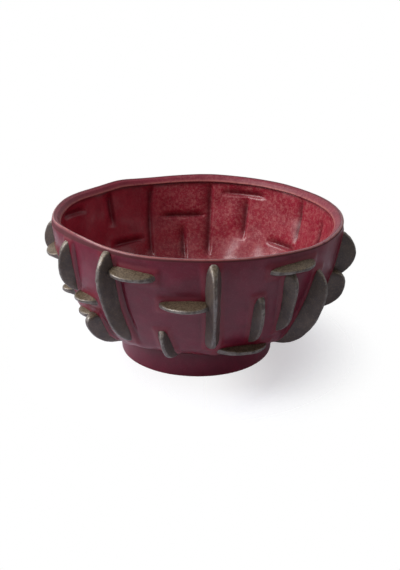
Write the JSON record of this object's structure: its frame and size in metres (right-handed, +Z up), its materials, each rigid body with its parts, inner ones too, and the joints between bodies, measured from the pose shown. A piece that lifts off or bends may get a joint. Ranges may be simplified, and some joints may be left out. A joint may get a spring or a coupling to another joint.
{
  "type": "terra sigillata bowl",
  "caption": "Wide wine-red ceramic bowl on a plain foot ring, with a bevelled rim and dark clay fins standing upright and level round its wall.",
  "frame": {"origin": "centre of the foot ring, on the surface that the bowl stands on", "axes": "+Z up the bowl's axis, -Y towards the front of the picture, +X to its right"},
  "size_m": [0.3245, 0.3291, 0.152],
  "materials": {
    "wine_slip": "deep wine-red slip with a satin gloss",
    "fin_slip": "dark brown-grey slip with a metallic satin"
  },
  "bodies": {
    "root": {"back_level_fin_1": "fin_slip", "back_level_fin_2": "fin_slip", "back_level_fin_3": "fin_slip", "back_upright_fin_1": "fin_slip", "back_upright_fin_2": "fin_slip", "back_upright_fin_3": "fin_slip", "back_upright_fin_4": "fin_slip", "back_upright_fin_5": "fin_slip", "bowl_body": "wine_slip", "foot_ring": "wine_slip", "front_level_fin_1": "fin_slip", "front_level_fin_2": "fin_slip", "front_level_fin_3": "fin_slip", "front_level_fin_4": "fin_slip", "front_upright_fin_1": "fin_slip", "front_upright_fin_2": "fin_slip", "front_upright_fin_3": "fin_slip", "front_upright_fin_4": "fin_slip", "front_upright_fin_5": "fin_slip", "left_level_fin_1": "fin_slip", "left_level_fin_2": "fin_slip", "left_level_fin_3": "fin_slip", "left_level_fin_4": "fin_slip", "left_level_fin_5": "fin_slip", "left_upright_fin_1": "fin_slip", "left_upright_fin_2": "fin_slip", "left_upright_fin_3": "fin_slip", "right_level_fin_1": "fin_slip", "right_upright_fin_1": "fin_slip", "right_upright_fin_2": "fin_slip", "right_upright_fin_3": "fin_slip", "right_upright_fin_4": "fin_slip", "right_upright_fin_5": "fin_slip", "rim_coil": "wine_slip"}
  },
  "joints": []
}
